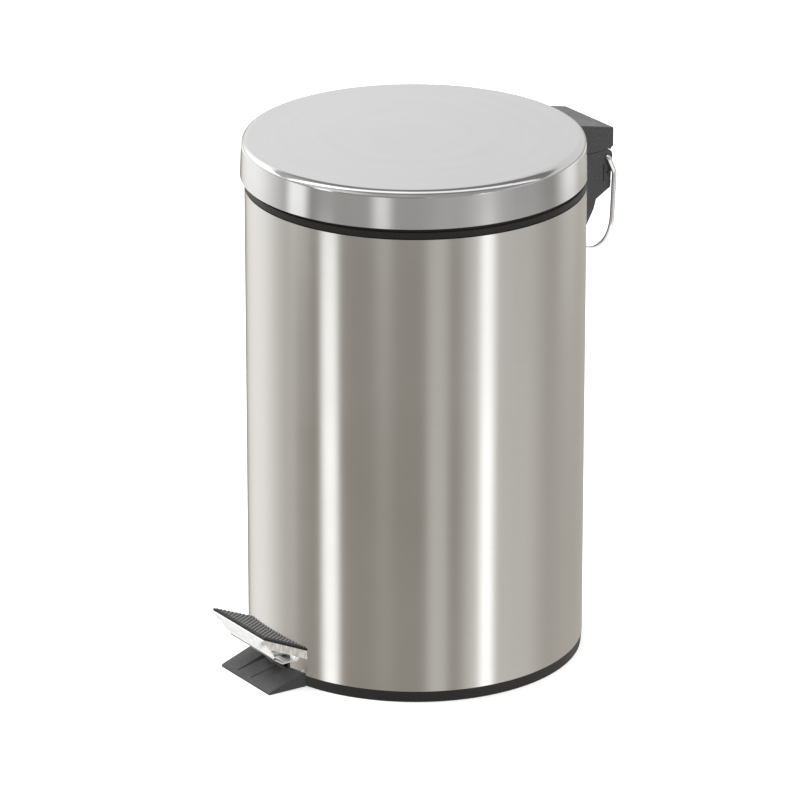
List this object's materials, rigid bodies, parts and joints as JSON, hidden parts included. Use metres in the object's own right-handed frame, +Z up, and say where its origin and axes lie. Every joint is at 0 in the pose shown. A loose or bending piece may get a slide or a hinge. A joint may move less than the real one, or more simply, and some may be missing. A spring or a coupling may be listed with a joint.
{
  "type": "pedal trash can",
  "caption": "Round steel pedal bin with a hinged lid, an inner bucket, a ribbed foot pedal with lift linkage and a wire carry handle at the back.",
  "frame": {"origin": "on the sleeve's axis, in the plane of the floor pads' undersides", "axes": "+Z up, pedal towards -Y, lid hinge towards +Y, +X to the right as seen from the pedal"},
  "size_m": [0.2518, 0.3129, 0.3945],
  "materials": {
    "brushed_steel": "fine vertical brushing, satin",
    "pedal_steel": "bright folded sheet",
    "chrome_wire": "bright plated wire",
    "zinc_steel": "zinc plated, dull",
    "black_plastic": "fine moulded grain",
    "bucket_plastic": "smooth moulded, satin",
    "black_rubber": "dull rubber"
  },
  "bodies": {
    "bin": {"base": "black_plastic", "floor_pads": "black_rubber", "toe_piece": "black_plastic", "toe_pads": "black_rubber", "toe_screws": "zinc_steel", "body_tube": "brushed_steel", "slot_grommet": "black_plastic", "rim_ring": "black_plastic", "hinge_bracket": "black_plastic", "hinge_pin": "zinc_steel", "backing_plate": "zinc_steel", "bracket_screws": "zinc_steel", "pedal_axle": "zinc_steel", "axle_clips": "bucket_plastic", "clip_screws": "zinc_steel", "axle_spacers": "bucket_plastic", "rod_guides": "bucket_plastic"},
    "lid": {"lid_shell": "brushed_steel", "lid_liner": "black_plastic", "lid_bumpers": "black_rubber", "hinge_cover": "black_plastic", "crank_pin": "zinc_steel", "cover_screws": "zinc_steel"},
    "pedal": {"pedal_lever": "zinc_steel", "pedal_plate": "pedal_steel", "pedal_rivets": "zinc_steel", "pedal_tread": "black_rubber"},
    "lift_rod": {"push_rod": "zinc_steel", "rod_head": "bucket_plastic", "rod_clip": "zinc_steel"},
    "handle": {"carry_handle": "chrome_wire"},
    "bucket": {"inner_bucket": "bucket_plastic"},
    "bucket_bail": {"bucket_handle": "zinc_steel"}
  },
  "joints": [
    {"name": "lid_hinge", "type": "hinge", "parent": "bin", "child": "lid", "pos_m": [0, 0.149, 0.3566], "axis": [-1, 0, 0], "range_deg": [0, 75]},
    {"name": "pedal_pivot", "type": "hinge", "parent": "bin", "child": "pedal", "pos_m": [0, -0.035, 0.012], "axis": [1, 0, 0], "range_deg": [0, 6.45]},
    {"name": "rod_slide", "type": "slide", "parent": "bin", "child": "lift_rod", "axis": [0, 0, 1], "range_m": [0, 0.01706]},
    {"name": "handle_swing", "type": "hinge", "parent": "bin", "child": "handle", "pos_m": [0, 0.149, 0.3566], "axis": [1, 0, 0], "range_deg": [0, 120]},
    {"name": "bucket_lift", "type": "slide", "parent": "bin", "child": "bucket", "axis": [0, 0, 1], "range_m": [0, 0.008]},
    {"name": "bucket_handle_swing", "type": "hinge", "parent": "bucket", "child": "bucket_bail", "pos_m": [0, 0, 0.3591], "axis": [-1, 0, 0], "range_deg": [0, 8]}
  ],
  "couplings": [
    {"joint": "pedal_pivot", "follows": "lid_hinge", "ratio": 0.085849},
    {"joint": "rod_slide", "follows": "lid_hinge", "m_per_rad": 0.013022}
  ]
}
